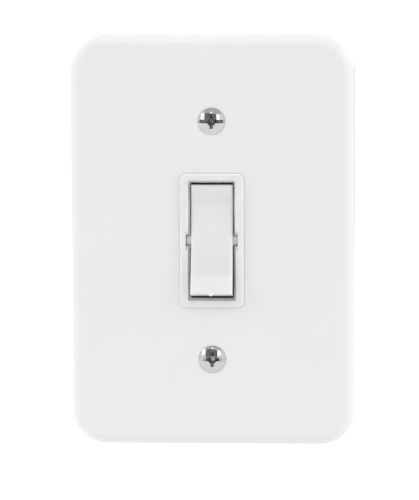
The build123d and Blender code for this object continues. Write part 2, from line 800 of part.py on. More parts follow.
# Terminals: tunnel clamps pegged to the strips, each with a screw from behind, backed off
clamp_screw_end_y = clamp_head_y + clamp_head_height
for terminal_name, side in (("load_terminal", 1), ("common_terminal", -1)):
    with BuildPart() as terminal:
        with BuildSketch(behind(strip_back_y)):
            with Locations((0, side * clamp_z)):
                Rectangle(clamp_width, clamp_height)
        extrude(amount=-clamp_depth)
        chamfer(terminal.edges().filter_by(Axis.Y), clamp_chamfer)
        with BuildSketch(behind(strip_back_y)):
            with Locations((0, side * clamp_z)):
                Circle(clamp_peg_radius)
        extrude(amount=strip_sheet)
        with Locations(Plane((0, tunnel_y, side * strip_end), z_dir=(0, 0, side))):
            Hole(tunnel_radius, depth=clamp_height)
        with Locations(Plane((0, clamp_back_y, side * clamp_z), z_dir=(0, 1, 0))):
            Hole(tapped_radius, depth=clamp_depth / 2)
    terminal.part.label = terminal_name
    export_step(terminal.part, f"parts/{terminal_name}.step")

    clamp_screw_side = Plane((0, 0, side * clamp_z), x_dir=(1, 0, 0), z_dir=(0, 0, 1))
    clamp_screw_face = Plane((0, clamp_screw_end_y, side * clamp_z), x_dir=(1, 0, 0), z_dir=(0, 1, 0))
    recess_tool = driver_recess(clamp_screw_face, 0)
    with BuildPart() as terminal_screw:
        with BuildSketch(clamp_screw_side):
            with BuildLine():
                Polyline(
                    (0, clamp_screw_tip_y),
                    (thread_radius - thread_tip, clamp_screw_tip_y),
                    (thread_radius, clamp_screw_tip_y + thread_tip),
                    (thread_radius, clamp_head_y),
                    (clamp_head_radius, clamp_head_y),
                    (clamp_head_radius, clamp_screw_end_y),
                    (0, clamp_screw_end_y),
                    close=True,
                )
            make_face()
        revolve(axis=Axis(clamp_screw_side.origin, clamp_screw_side.y_dir))
        fillet(terminal_screw.edges().group_by(Axis.Y)[-1], clamp_head_edge_radius)
        add(recess_tool, mode=Mode.SUBTRACT)
    terminal_screw.part.label = f"{terminal_name}_screw"
    export_step(terminal_screw.part, f"parts/{terminal_name}_screw.step")

# Switch base: a moulded box with a chamber for the bridge, a grooved pedestal behind the cradle,
# cheeks that guide the bridge, pockets for the terminals and barbs in recesses for the arms
recess_floor_x = frame_width / 2 - arm_thickness - snap_gap
recess_middle_x = frame_width / 2 - (arm_thickness + snap_gap) / 2
barb_start_y = frame_skirt_y + arm_window_start + snap_gap
barb_end_y = barb_start_y + arm_window_length - 2 * snap_gap
barb_width = arm_window_width - 2 * snap_gap
cheek_front_y = fulcrum_y - bridge_rise - cheek_rise
cheek_inner_x = bridge_width / 2 + cheek_gap
cheek_width = chamber_half_width - cheek_inner_x
pedestal_y = cradle_y + strip_sheet + floor_gap
pedestal_flank = (strip_sheet + floor_gap) * tan(radians(90 - cradle_vee_angle) / 2)
pedestal_vee_half = cradle_vee_half + pedestal_flank
pedestal_vee_y = pedestal_y + pedestal_vee_half / tan(radians(cradle_vee_angle))
pocket_inner_z = strip_end - clamp_height - pocket_gap
core_half_height = pocket_inner_z - core_wall
core_depth = base_back_y - floor_y - core_floor
with BuildPart() as switch_base:
    with BuildSketch(behind(frame_skirt_y)):
        RectangleRounded(frame_width, frame_height, frame_corner_radius)
    extrude(amount=frame_skirt_y - base_back_y)
    fillet(switch_base.faces().sort_by(Axis.Y)[-1].edges(), base_edge_radius)
    with BuildSketch(behind(floor_y)):
        Rectangle(2 * chamber_half_width, 2 * chamber_half_height)
    extrude(amount=floor_y - frame_skirt_y, mode=Mode.SUBTRACT)
    with BuildSketch(behind(floor_y)):
        with GridLocations(2 * cheek_inner_x + cheek_width, 0, 2, 1):
            Rectangle(cheek_width, 2 * cheek_half_height)
    extrude(amount=floor_y - cheek_front_y)
    with BuildSketch(Plane.YZ):
        with BuildLine():
            Polyline(
                (floor_y + core_floor / 2, pedestal_half_height),
                (pedestal_y, pedestal_half_height),
                (pedestal_y, pedestal_vee_half),
                (pedestal_vee_y, 0),
                (pedestal_y, -pedestal_vee_half),
                (pedestal_y, -pedestal_half_height),
                (floor_y + core_floor / 2, -pedestal_half_height),
                close=True,
            )
        make_face()
    extrude(amount=strip_width / 2, both=True)
    with BuildSketch(behind(base_back_y)):
        Rectangle(2 * chamber_half_width, 2 * core_half_height)
    extrude(amount=core_depth, mode=Mode.SUBTRACT)
    for side in (1, -1):
        with BuildSketch(behind(floor_y)):
            with Locations((0, side * clamp_z)):
                Rectangle(clamp_width + 2 * pocket_gap, clamp_height + 2 * pocket_gap)
        extrude(amount=floor_y - clamp_back_y - pocket_gap, mode=Mode.SUBTRACT)
        with Locations(Plane((0, base_back_y, side * clamp_z), z_dir=(0, 1, 0))):
            Hole(clamp_head_radius + access_gap, depth=base_back_y - clamp_back_y)
        with Locations(Plane((0, tunnel_y, side * frame_height / 2), z_dir=(0, 0, side))):
            CounterSinkHole(
                wire_entry_radius,
                wire_entry_radius + wire_entry_flare,
                frame_height / 2 - strip_end,
                90,
            )
    with BuildSketch(behind(frame_skirt_y)):
        with GridLocations(2 * recess_middle_x, 2 * arm_z, 2, 2):
            Rectangle(arm_thickness + snap_gap, arm_width + 2 * snap_gap)
    extrude(amount=-arm_length - snap_gap, mode=Mode.SUBTRACT)
    for barb_z in (arm_z, -arm_z):
        with BuildSketch(Plane.XY.offset(barb_z - barb_width / 2)):
            with BuildLine():
                Polyline(
                    (chamber_half_width, barb_start_y),
                    (recess_floor_x, barb_start_y),
                    (recess_floor_x + arm_thickness, barb_end_y),
                    (chamber_half_width, barb_end_y),
                    close=True,
                )
            make_face()
            mirror(about=Plane.YZ)
        extrude(amount=barb_width)
switch_base.part.label = "switch_base"
export_step(switch_base.part, "parts/switch_base.step")
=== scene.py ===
import bmesh
import bpy
import json
import math
from mathutils import Matrix, Vector


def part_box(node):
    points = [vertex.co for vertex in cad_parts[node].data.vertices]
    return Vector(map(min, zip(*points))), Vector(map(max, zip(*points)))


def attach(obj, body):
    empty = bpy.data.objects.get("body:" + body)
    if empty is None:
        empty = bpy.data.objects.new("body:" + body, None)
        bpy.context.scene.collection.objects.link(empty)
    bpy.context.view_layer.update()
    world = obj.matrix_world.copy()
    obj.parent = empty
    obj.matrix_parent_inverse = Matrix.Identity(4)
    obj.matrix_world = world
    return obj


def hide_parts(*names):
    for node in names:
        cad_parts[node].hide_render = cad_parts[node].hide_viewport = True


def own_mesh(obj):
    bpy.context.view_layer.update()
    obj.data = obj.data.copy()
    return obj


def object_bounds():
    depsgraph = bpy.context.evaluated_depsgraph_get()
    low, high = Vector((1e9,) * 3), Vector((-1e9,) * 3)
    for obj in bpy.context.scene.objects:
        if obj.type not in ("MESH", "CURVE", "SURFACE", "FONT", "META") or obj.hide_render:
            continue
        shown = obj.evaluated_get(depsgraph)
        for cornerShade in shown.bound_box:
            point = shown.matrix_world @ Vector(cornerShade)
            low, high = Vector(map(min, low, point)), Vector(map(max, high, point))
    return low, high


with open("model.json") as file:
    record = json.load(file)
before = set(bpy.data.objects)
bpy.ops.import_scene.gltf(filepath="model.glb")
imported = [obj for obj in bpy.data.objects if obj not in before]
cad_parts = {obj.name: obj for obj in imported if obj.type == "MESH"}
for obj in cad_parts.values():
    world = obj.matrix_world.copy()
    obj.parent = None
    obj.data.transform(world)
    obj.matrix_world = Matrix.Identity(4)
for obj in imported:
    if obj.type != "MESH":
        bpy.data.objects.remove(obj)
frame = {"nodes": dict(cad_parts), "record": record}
nodes = frame["nodes"]
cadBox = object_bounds()
mm = 0.001
print("frame loaded,", len(nodes), "nodes")


# the photograph's view, a long lens a little to the right and above
cameraSettings = {
    "azimuth": 5.0,  # degrees to the right of straight on
    "elevation": 5.0,
    "roll": 0.25,  # the plate leans this much in the photograph
    "distance": 1300 * mm,
    "pixelsPerMetre": 3725,  # at the wall plane
    "imageWidth": 419,
    "imageHeight": 500,
    "originX": 213.9,  # where the middle of the plate lies in the picture
    "originY": 238.7,
    "clipNear": 0.1,
    "clipFar": 50,
}


def direction(azimuth, elevation):  # from the middle of the plate, 0 and 0 being straight on
    turn, rise = math.radians(azimuth), math.radians(elevation)
    return Vector((
        math.sin(turn) * math.cos(rise),
        -math.cos(turn) * math.cos(rise),
        math.sin(rise),
    ))


def makeCamera(s):
    back = direction(s["azimuth"], s["elevation"])
    roll = math.radians(s["roll"])
    levelRight = Vector((0, 0, 1)).cross(back).normalized()
    levelUp = back.cross(levelRight)
    aside = (s["imageWidth"] / 2 - s["originX"]) / s["pixelsPerMetre"]
    above = (s["originY"] - s["imageHeight"] / 2) / s["pixelsPerMetre"]
    aim = levelRight * aside + levelUp * above
    right = levelRight * math.cos(roll) - levelUp * math.sin(roll)
    up = levelRight * math.sin(roll) + levelUp * math.cos(roll)
    turned = Matrix((right, up, back)).transposed().to_4x4()
    camera = bpy.data.objects.new("camera", bpy.data.cameras.new("camera"))
    bpy.context.scene.collection.objects.link(camera)
    camera.matrix_world = Matrix.Translation(aim + back * s["distance"]) @ turned
    focalPixels = s["pixelsPerMetre"] * s["distance"]
    longSide = max(s["imageWidth"], s["imageHeight"])
    camera.data.lens = focalPixels * camera.data.sensor_width / longSide
    camera.data.clip_start = s["clipNear"]
    camera.data.clip_end = s["clipFar"]
    bpy.context.scene.camera = camera


makeCamera(cameraSettings)
bpy.context.scene.view_settings.view_transform = "Standard"
print("camera placed")


# a socket that adds Math nodes when it is used in an expression
class Wire:
    def __init__(self, recipe, socket):
        self.recipe = recipe
        self.socket = socket

    def maths(self, operation, *others):
        terms = dict(enumerate((self, *others)))
        return self.recipe.node("ShaderNodeMath", {"operation": operation}, terms)

    def __add__(self, other):
        return self.maths("ADD", other)

    __radd__ = __add__

    def __sub__(self, other):
        return self.maths("SUBTRACT", other)

    def __rsub__(self, other):
        return self * -1 + other

    def __mul__(self, other):
        return self.maths("MULTIPLY", other)

    __rmul__ = __mul__

    def __lt__(self, other):
        return self.maths("LESS_THAN", other)

    def __gt__(self, other):
        return self.maths("GREATER_THAN", other)


# one material, with the few calls that its recipe needs
class Recipe:
    def __init__(self, name, tree=None):
        if tree is None:
            self.material = bpy.data.materials.new(name)
            self.material.use_nodes = True
            tree = self.material.node_tree
        self.tree = tree
        self.tree.nodes.clear()

    def node(self, kind, settings=None, inputs=None, output=0):
        made = self.tree.nodes.new(kind)
        for key, value in (settings or {}).items():
            if key == "stops":
                self.setStops(made.color_ramp, value)
            else:
                setattr(made, key, value)
        for key, value in (inputs or {}).items():
            socket = self.find(made.inputs, key)
            if isinstance(value, Wire):
                self.tree.links.new(value.socket, socket)
            else:
                socket.default_value = value
        if made.outputs:
            return Wire(self, self.find(made.outputs, output))

    def find(self, sockets, key):
        if isinstance(key, int):
            return sockets[key]
        return next(socket for socket in sockets if key in (socket.identifier, socket.name))

    def setStops(self, ramp, stops):
        while len(ramp.elements) < len(stops):
            ramp.elements.new(1.0)
        for element, (position, value) in zip(ramp.elements, stops):
            element.position = position
            element.color = grey(value)

    def place(self, stretch=(1, 1, 1)):
        objectPlace = self.node("ShaderNodeTexCoord", output="Object")
        return self.node("ShaderNodeMapping", {}, {"Vector": objectPlace, "Scale": stretch})

    def noise(self, where, perMetre, detail=3.0, roughness=0.5):
        inputs = {"Vector": where, "Scale": perMetre, "Detail": detail, "Roughness": roughness}
        return self.node("ShaderNodeTexNoise", {}, inputs)

    def ramp(self, value, *stops):
        return self.node("ShaderNodeValToRGB", {"stops": stops}, {"Fac": value})

    def blend(self, factor, first, second):
        inputs = {"Factor_Float": factor, "A_Color": first, "B_Color": second}
        return self.node("ShaderNodeMix", {"data_type": "RGBA"}, inputs, "Result_Color")

    def softEdges(self, radius):  # rounds sharp edges in the shading alone
        return self.node("ShaderNodeBevel", {"samples": 4}, {"Radius": radius})

    def bump(self, height, distance, normal=None):
        inputs = {"Height": height, "Distance": distance, "Strength": 1.0}
        if normal is not None:
            inputs["Normal"] = normal
        return self.node("ShaderNodeBump", {}, inputs)

    def crevice(self, reach):  # 1 in the open, less in corners and gaps
        return self.node("ShaderNodeAmbientOcclusion", {"samples": 6}, {"Distance": reach}, "AO")

    def split(self, vector):
        return [self.node("ShaderNodeSeparateXYZ", {}, {"Vector": vector}, axis) for axis in "XYZ"]

    def vectors(self, operation, *terms):
        output = "Value" if operation == "LENGTH" else "Vector"
        settings = {"operation": operation}
        return self.node("ShaderNodeVectorMath", settings, dict(enumerate(terms)), output)

    def surface(self, settings):
        shader = self.node("ShaderNodeBsdfPrincipled", {}, settings, "BSDF")
        self.node("ShaderNodeOutputMaterial", {}, {"Surface": shader})
        return self.material


def colour(red, green, blue):
    return (red, green, blue, 1)


def grey(value):
    return colour(value, value, value)


def addMesh(name, bm, smoothUnder=None):
    mesh = bpy.data.meshes.new(name)
    bm.to_mesh(mesh)
    bm.free()
    if smoothUnder is not None:
        mesh.shade_smooth()
        mesh.set_sharp_from_angle(angle=math.radians(smoothUnder))
    item = bpy.data.objects.new(name, mesh)
    bpy.context.scene.collection.objects.link(item)
    return item


# floor, surroundings and lamps
stageSettings = {
    "floorDrop": 17 * mm,  # the plate hangs this far above the floor
    "floorSize": 8.0,
    "floorColour": 0.92,
    "floorGlow": 0.68,  # seen by the camera alone
    "ambient": 0.56,
    "seenWhite": 1.0,  # what the camera, gloss and clear pieces see round the object
}
lamps = {
    # azimuth, elevation, distance, width, height, share of the light on the plate, shown by gloss
    "stripRight": (22, 18, 0.75, 0.13, 0.28, 0.03, True),
    "stripLeft": (-41, 17, 0.75, 0.1, 0.24, 0.02, True),
    "softboxRight": (76, 22, 0.75, 0.3, 0.3, 0.07, False),
    "softboxLeft": (-72, 24, 0.75, 0.3, 0.3, 0.075, False),
    "softboxAbove": (4, 74, 0.85, 0.5, 0.5, 0.065, False),
    "behindRight": (146, 28, 0.9, 0.5, 0.5, 0.12, True),
    "behindLeft": (-135, 30, 0.9, 0.5, 0.5, 0.13, True),
}
cards = {
    # the dim room in front of the plate and two small gleams, for gloss alone:
    # azimuth, elevation, distance, width, height, tone
    "darkCard": (-7.5, 10.5, 0.6, 0.5, 0.47, 0.2),
    "dimCard": (0, 43, 0.63, 0.7, 0.36, 0.64),
    "rockerGleam": (-5.5, 7.2, 0.55, 0.05, 0.02, 3.0),
    "flareGleam": (-6, 34.2, 0.55, 0.028, 0.042, 3.6),
}


def placeFacing(item, azimuth, elevation, distance):  # looks at the middle of the plate
    towards = direction(azimuth, elevation)
    item.location = towards * distance
    item.rotation_euler = towards.to_track_quat("Z", "Y").to_euler()


def makeFloor(s):
    floorHeight = cadBox[0].z - s["floorDrop"]
    bm = bmesh.new()
    bmesh.ops.create_grid(bm, x_segments=1, y_segments=1, size=s["floorSize"] / 2)
    bmesh.ops.translate(bm, verts=bm.verts, vec=(0, 0, floorHeight))
    floor = addMesh("floor", bm)
    recipe = Recipe("floorPaper")
    seen = recipe.node("ShaderNodeLightPath", output="Is Camera Ray")
    matt = recipe.node("ShaderNodeBsdfDiffuse", {}, {"Color": grey(s["floorColour"])})
    glow = recipe.node("ShaderNodeEmission", {}, {"Strength": seen * s["floorGlow"]})
    both = recipe.node("ShaderNodeAddShader", {}, {0: matt, 1: glow})
    recipe.node("ShaderNodeOutputMaterial", {}, {"Surface": both})
    floor.data.materials.append(recipe.material)


def makeSurroundings(s):
    world = bpy.data.worlds.new("surroundings")
    world.use_nodes = True
    bpy.context.scene.world = world
    recipe = Recipe("surroundings", world.node_tree)
    rays = ("Is Camera Ray", "Is Glossy Ray", "Is Transmission Ray")
    camera, glossy, through = (recipe.node("ShaderNodeLightPath", output=ray) for ray in rays)
    seen = camera.maths("MAXIMUM", glossy).maths("MAXIMUM", through)
    strength = s["ambient"] + seen * (s["seenWhite"] - s["ambient"])
    background = recipe.node("ShaderNodeBackground", {}, {"Color": grey(1), "Strength": strength})
    recipe.node("ShaderNodeOutputWorld", {}, {"Surface": background})


def makeLamp(name, azimuth, elevation, distance, width, height, share, shown):
    light = bpy.data.lights.new(name, "AREA")
    light.shape = "RECTANGLE"
    light.size = width
    light.size_y = height
    slant = abs(math.cos(math.radians(azimuth)) * math.cos(math.radians(elevation)))
    light.energy = share / slant * (math.pi * distance) ** 2
    lamp = bpy.data.objects.new(name, light)
    lamp.visible_glossy = shown
    bpy.context.scene.collection.objects.link(lamp)
    placeFacing(lamp, azimuth, elevation, distance)


def makeCard(name, azimuth, elevation, distance, width, height, tone):
    bm = bmesh.new()
    bmesh.ops.create_grid(bm, x_segments=1, y_segments=1, size=0.5)
    bmesh.ops.scale(bm, verts=bm.verts, vec=(width, height, 1))
    card = addMesh(name, bm)
    placeFacing(card, azimuth, elevation, distance)
    recipe = Recipe(name)
    dim = recipe.node("ShaderNodeEmission", {}, {"Color": grey(1), "Strength": tone})
    recipe.node("ShaderNodeOutputMaterial", {}, {"Surface": dim})
    card.data.materials.append(recipe.material)
    card.visible_camera = False
    card.visible_diffuse = False
    card.visible_shadow = False
    card.visible_transmission = False


makeFloor(stageSettings)
makeSurroundings(stageSettings)
for lampName, lampPlace in lamps.items():
    makeLamp(lampName, *lampPlace)
for cardName, cardPlace in cards.items():
    makeCard(cardName, *cardPlace)
print("stage and lamps ready")


# powder coat on the cover: gloss with a faint orange peel outside, thin overspray inside
coverPaint = {
    "white": colour(0.835, 0.835, 0.83),
    "shade": colour(0.82, 0.82, 0.812),
    "cloudPerMetre": 28,
    # painted shade: the paint darkens towards this colour in corners and gaps, by ambient occlusion
    "cornerShade": colour(0.81, 0.808, 0.80),
    "cornerReach": 1.2 * mm,
    "cornerLight": 0.93,
    "roughness": 0.17,
    "patchRoughness": 0.08,  # each of these adds to the roughness where it lies
    "bareRoughness": 0.2,
    "patchPerMetre": 90,
    "peelPerMetre": 650,
    "finePeelPerMetre": 2400,
    "finePeel": 0.35,  # beside 1 for the broad peel
    "peelDepth": 0.004 * mm,
    "steel": colour(0.56, 0.57, 0.58),
    "brightSteel": colour(0.68, 0.69, 0.70),
    "streakPerMetre": 900,
    "streakStretch": (1, 1, 0.06),
    "cornerRadius": 9.4 * mm,  # of the plate's outline
    "wall": 0.9 * mm,
    "sheetBack": 5.1 * mm,
    "oversprayReach": 11 * mm,
    "specklePerMetre": 2600,
    "speckle": 1.6,  # how far speckles and clouds break up the overspray
    "patchiness": 0.9,
}


def makeCoverPaint(s):
    recipe = Recipe("coverPaint")
    where = recipe.place()
    low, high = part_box("cover_plate")
    radius = s["cornerRadius"]
    inner = ((high.x - low.x) / 2 - radius, 0, (high.z - low.z) / 2 - radius)
    beyond = recipe.vectors("SUBTRACT", recipe.vectors("ABSOLUTE", where), inner)
    beyond = recipe.vectors("MAXIMUM", beyond, (0, 0, 0))
    fromCore = recipe.vectors("LENGTH", recipe.vectors("MULTIPLY", beyond, (1, 0, 1)))
    depth = recipe.split(where)[1]
    inside = (fromCore < radius - s["wall"]) * (depth > -s["sheetBack"])
    cloud = recipe.noise(where, s["cloudPerMetre"], 4)
    speckle = recipe.noise(where, s["specklePerMetre"], 2, 0.7)
    spread = (radius - fromCore) * (1 / s["oversprayReach"])
    spread = spread + (speckle - 0.5) * s["speckle"] + (cloud - 0.5) * s["patchiness"]
    bare = recipe.ramp(spread, (0.5, 0), (0.95, 1)) * inside
    paint = recipe.blend(recipe.ramp(cloud, (0.35, 0), (0.7, 1)), s["white"], s["shade"])
    # painted shade in corners and gaps, by ambient occlusion
    clear = recipe.ramp(recipe.crevice(s["cornerReach"]), (0.0, s["cornerLight"]), (0.7, 1.0))
    paint = recipe.blend(clear, s["cornerShade"], paint)
    streak = recipe.noise(recipe.place(s["streakStretch"]), s["streakPerMetre"], 3)
    steel = recipe.blend(recipe.ramp(streak, (0.3, 0), (0.7, 1)), s["steel"], s["brightSteel"])
    peel = recipe.noise(where, s["peelPerMetre"], 2, 0.4)
    peel = peel + s["finePeel"] * recipe.noise(where, s["finePeelPerMetre"], 1)
    patches = recipe.noise(where, s["patchPerMetre"], 3)
    roughness = s["roughness"] + s["patchRoughness"] * patches + s["bareRoughness"] * bare
    return recipe.surface({
        "Base Color": recipe.blend(bare, paint, steel),
        "Metallic": bare,
        "Roughness": roughness,
        "Normal": recipe.bump(peel, s["peelDepth"]),
    })


# moulded plastics: the frame, the rocker, the base and the small inner pieces
mouldings = {
    "framePlastic": {
        "slot": "frame_plastic",
        "body": colour(0.795, 0.795, 0.788),
        "flow": colour(0.785, 0.785, 0.777),
        "creviceShade": colour(0.70, 0.695, 0.67),
        "roughness": 0.19,
        "depth": 0.8,
        "grainPerMetre": 1900,
        "grainDepth": 0.0012 * mm,
    },
    "rockerPlastic": {
        "slot": "rocker_plastic",
        "body": colour(0.79, 0.79, 0.785),
        "flow": colour(0.78, 0.78, 0.773),
        "creviceShade": colour(0.70, 0.695, 0.67),
        "roughness": 0.1,
        "depth": 0.8,
        "grainPerMetre": 1500,
        "grainDepth": 0.001 * mm,
    },
    "basePlastic": {
        "slot": "base_plastic",
        "body": colour(0.73, 0.725, 0.69),
        "flow": colour(0.68, 0.675, 0.635),
        "creviceShade": colour(0.40, 0.38, 0.34),
        "roughness": 0.46,
        "grainPerMetre": 2600,
        "grainDepth": 0.006 * mm,
        "edge": 0.12 * mm,
    },
    "washerPlastic": {
        "slot": "washer_plastic",
        "body": colour(0.80, 0.80, 0.77),
        "flow": colour(0.72, 0.72, 0.68),
        "creviceShade": colour(0.5, 0.49, 0.45),
        "roughness": 0.4,
        "grainPerMetre": 2200,
        "grainDepth": 0.003 * mm,
        "edge": 0.05 * mm,
    },
    "plungerPlastic": {
        "slot": "plunger_plastic",
        "body": colour(0.75, 0.74, 0.68),
        "flow": colour(0.70, 0.69, 0.62),
        "creviceShade": colour(0.45, 0.43, 0.38),
        "roughness": 0.38,
        "grainPerMetre": 2400,
        "grainDepth": 0.003 * mm,
        "edge": 0.05 * mm,
    },
}
mouldingDetail = {
    # for every moulding above that doesn't say otherwise
    "swirlPerMetre": 45,
    "patchPerMetre": 420,
    "patchRoughness": 0.05,
    # painted shade: each moulding darkens towards its crevice colour in corners and gaps, by
    # ambient occlusion
    "creviceShadeReach": 0.9 * mm,
    "bodyLeftInCrevice": 0.75,
    "depth": 0.0,  # share of the light that enters the plastic
    "depthTint": (1.0, 0.97, 0.94),
    "depthReach": 1.7 * mm,
    "edge": None,  # the frame and the rocker have round edges of their own
}


def makeMoulding(name, s):
    recipe = Recipe(name)
    where = recipe.place()
    swirl = recipe.noise(where, s["swirlPerMetre"], 3, 0.5)
    body = recipe.blend(recipe.ramp(swirl, (0.3, 0), (0.75, 1)), s["body"], s["flow"])
    # painted shade in corners and gaps, by ambient occlusion
    clear = recipe.ramp(recipe.crevice(s["creviceShadeReach"]), (0.0, s["bodyLeftInCrevice"]), (0.75, 1.0))
    grain = recipe.noise(where, s["grainPerMetre"], 3, 0.6)
    patches = recipe.noise(where, s["patchPerMetre"], 2)
    softened = recipe.softEdges(s["edge"]) if s["edge"] else None
    return recipe.surface({
        "Base Color": recipe.blend(clear, s["creviceShade"], body),
        "Roughness": s["roughness"] + s["patchRoughness"] * patches,
        "Normal": recipe.bump(grain, s["grainDepth"], softened),
        "Subsurface Weight": s["depth"],
        "Subsurface Radius": s["depthTint"],
        "Subsurface Scale": s["depthReach"],
    })


# metals: each has a light and a dark tone, a stain's tint, a grain direction and a finish, and
# painted shade in its crevices
metals = {
    "zincSteel": {
        "slot": "zinc_steel",
        "light": colour(0.68, 0.69, 0.71),
        "dark": colour(0.50, 0.51, 0.54),
        "tint": colour(0.68, 0.65, 0.55),
        "stretch": (1, 1, 0.05),
        "grainPerMetre": 1700,
        "grainDepth": 0.005 * mm,
        "roughness": 0.3,
        "flakePerMetre": 3200,
        "creviceLight": 0.45,
        "edge": 0.1 * mm,
    },
    "zincScrew": {
        "slot": "zinc_screw",
        "light": colour(0.68, 0.69, 0.71),
        "dark": colour(0.40, 0.41, 0.43),
        # painted shade, near black, in the thread roots
        "deepShade": colour(0.07, 0.07, 0.075),
        "tint": colour(0.66, 0.62, 0.50),
        "contrast": (0.05, 0.85),
        "stretch": (1, 0.2, 1),
        "grainPerMetre": 3400,
        "grainDepth": 0.002 * mm,
        "roughness": 0.29,
        "flakePerMetre": 5200,
        "creviceReach": 0.45 * mm,
        "creviceStart": 0.42,
        "creviceLight": 0.0,
        "edge": 0.06 * mm,
    },
    "brassSheet": {
        "slot": "brass",
        "light": colour(0.80, 0.61, 0.31),
        "dark": colour(0.62, 0.44, 0.20),
        "tint": colour(0.50, 0.30, 0.16),
        "stretch": (1, 1, 0.07),
        "grainPerMetre": 2200,
        "grainDepth": 0.004 * mm,
        "roughness": 0.28,
        "flakePerMetre": 3600,
        "creviceLight": 0.45,
        "edge": 0.06 * mm,
    },
    "terminalBrass": {
        "slot": "terminal_brass",
        "light": colour(0.78, 0.59, 0.30),
        "dark": colour(0.60, 0.43, 0.20),
        "tint": colour(0.47, 0.30, 0.17),
        "stretch": (1, 0.1, 1),
        "grainPerMetre": 2400,
        "grainDepth": 0.006 * mm,
        "roughness": 0.3,
        "flakePerMetre": 3800,
        "creviceLight": 0.4,
        "edge": 0.08 * mm,
    },
    "earthBrass": {
        "slot": "earth_brass",
        "light": colour(0.79, 0.60, 0.30),
        "dark": colour(0.60, 0.43, 0.19),
        "tint": colour(0.48, 0.31, 0.17),
        "stretch": (0.12, 1, 1),
        "grainPerMetre": 2300,
        "grainDepth": 0.005 * mm,
        "roughness": 0.28,
        "flakePerMetre": 3800,
        "creviceLight": 0.4,
        "edge": 0.08 * mm,
    },
    "contactSilver": {
        "slot": "contact_silver",
        "light": colour(0.87, 0.86, 0.83),
        "dark": colour(0.70, 0.68, 0.63),
        "tint": colour(0.62, 0.55, 0.42),
        "stretch": (1, 1, 1),
        "grainPerMetre": 3200,
        "grainDepth": 0.003 * mm,
        "roughness": 0.28,
        "flakePerMetre": 6000,
        "creviceReach": 0.5 * mm,
        "creviceLight": 0.5,
        "edge": 0.04 * mm,
    },
    "springSteel": {
        "slot": "spring_steel",
        "light": colour(0.60, 0.60, 0.61),
        "dark": colour(0.40, 0.40, 0.42),
        "tint": colour(0.45, 0.38, 0.28),
        "stretch": (1, 1, 1),
        "grainPerMetre": 5000,
        "grainDepth": 0.002 * mm,
        "roughness": 0.3,
        "flakePerMetre": 7000,
        "creviceReach": 0.4 * mm,
        "creviceLight": 0.3,
        "edge": 0.02 * mm,
    },
}
metalDetail = {
    # for every metal above that doesn't say otherwise
    "contrast": (0.3, 0.66),
    "grainShare": 0.6,
    "flakeShare": 0.15,
    "cloudShare": 0.25,
    "cloudPerMetre": 70,
    "stainPerMetre": 130,
    "stainMost": 0.55,
    # painted shade: by ambient occlusion, crevices darken towards the dark tone, and towards the
    # deep colour on the screws
    "creviceReach": 0.8 * mm,
    "creviceStart": 0.0,
    "grainRoughness": 0.16,
    "stainRoughness": 0.12,
}


def makeMetal(name, s):
    recipe = Recipe(name)
    where = recipe.place()
    grain = recipe.noise(recipe.place(s["stretch"]), s["grainPerMetre"], 4, 0.6)
    flakePlace = {"Vector": where, "Scale": s["flakePerMetre"]}
    flake = recipe.split(recipe.node("ShaderNodeTexVoronoi", {}, flakePlace, "Color"))[0]
    cloud = recipe.noise(where, s["cloudPerMetre"], 3)
    mottle = s["grainShare"] * grain + s["flakeShare"] * flake + s["cloudShare"] * cloud
    low, high = s["contrast"]
    metal = recipe.blend(recipe.ramp(mottle, (low, 0), (high, 1)), s["dark"], s["light"])
    stain = recipe.noise(where, s["stainPerMetre"], 5, 0.65)
    stain = recipe.ramp(stain, (0.52, 0), (0.8, s["stainMost"]))
    metal = recipe.blend(stain, metal, s["tint"])
    # painted shade in crevices and gaps, by ambient occlusion
    start = (s["creviceStart"], s["creviceLight"])
    shadeShare = 1 - recipe.ramp(recipe.crevice(s["creviceReach"]), start, (0.85, 1.0))
    metal = recipe.blend(shadeShare, metal, s.get("deepShade", s["dark"]))
    roughness = s["roughness"] + s["grainRoughness"] * grain + s["stainRoughness"] * stain
    return recipe.surface({
        "Base Color": metal,
        "Metallic": 1.0,
        "Roughness": roughness,
        "Normal": recipe.bump(grain, s["grainDepth"], recipe.softEdges(s["edge"])),
    })


# bright plate on the cover screws, with the fine rings that turning leaves, painted shade and a
# duller gloss in the driver recess, which lies under the crown's sphere, and a thread on the shank
brightPlate = {
    "plate": colour(0.61, 0.61, 0.62),
    "roughness": 0.07,
    "ringsPerMetre": 4200,
    "ringDepth": 0.0008 * mm,
    "edge": 0.05 * mm,
    "scuffPerMetre": 1500,
    "scuffTint": 0.05,
    "scuffRoughness": 0.05,
    # painted shade in the driver recess; the scuffs darken towards it too
    "recessShade": colour(0.42, 0.415, 0.405),
    "recessShadeShare": 0.9,
    "recessRoughness": 0.14,
    "recessShadeStart": 0.06 * mm,  # below the crown
    "recessShadeFull": 0.3 * mm,
    "crownRadius": 8.05 * mm,
    "recessRadius": 3.25 * mm,
    "threadPitch": 0.6 * mm,
    "threadDepth": 0.22 * mm,
    "shankStart": -3 * mm,  # from the wall plane, towards the room
    "shankRadius": 1.8 * mm,
    "tipRadius": 1.25 * mm,  # the flat end inside this has no thread
}


